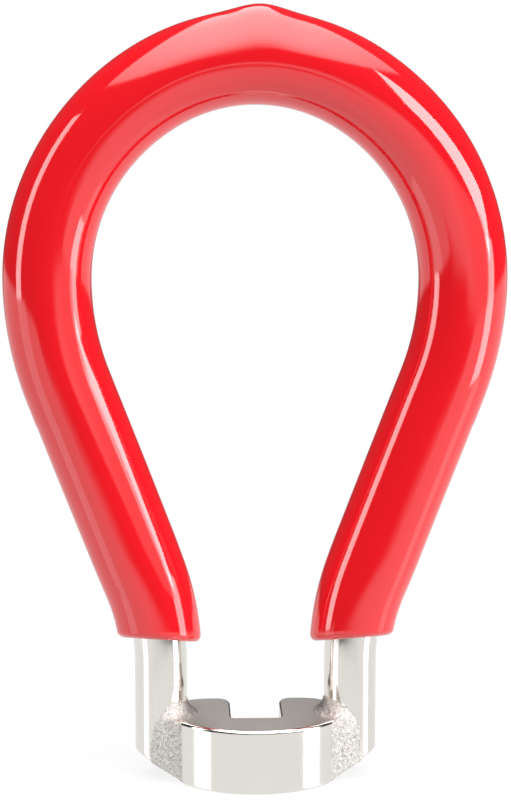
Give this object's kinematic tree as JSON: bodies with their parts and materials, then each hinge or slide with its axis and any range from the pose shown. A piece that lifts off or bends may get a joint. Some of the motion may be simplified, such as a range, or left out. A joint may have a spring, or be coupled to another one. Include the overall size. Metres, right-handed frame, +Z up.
{
  "type": "spoke wrench",
  "caption": "Hand spoke wrench: a slotted steel jaw block brazed between the ends of a pear-shaped bow of round rod, with a glossy red dipped vinyl coat for the fingers.",
  "frame": {"origin": "on the axis of the spoke nipple, at the underside of the jaw block", "axes": "+Z up along the nipple axis towards the top of the bow, -Y out of the round nose, +Y out of the slot's mouth, +X to the right seen from the nose"},
  "size_m": [0.0348, 0.0089, 0.0539],
  "materials": {
    "plated_steel": "bright nickel plate over hardened steel, soft mirror on the rounds and satin on the sawn top face",
    "plated_braze": "grainy cast braze under the same nickel plate",
    "red_vinyl": "thick glossy dipped vinyl, smooth, with a set drip at the top of the bow"
  },
  "bodies": {
    "root": {"jaw_block": "plated_steel", "handle_bow": "plated_steel", "braze_left": "plated_braze", "braze_right": "plated_braze", "grip_coat": "red_vinyl"}
  },
  "joints": []
}
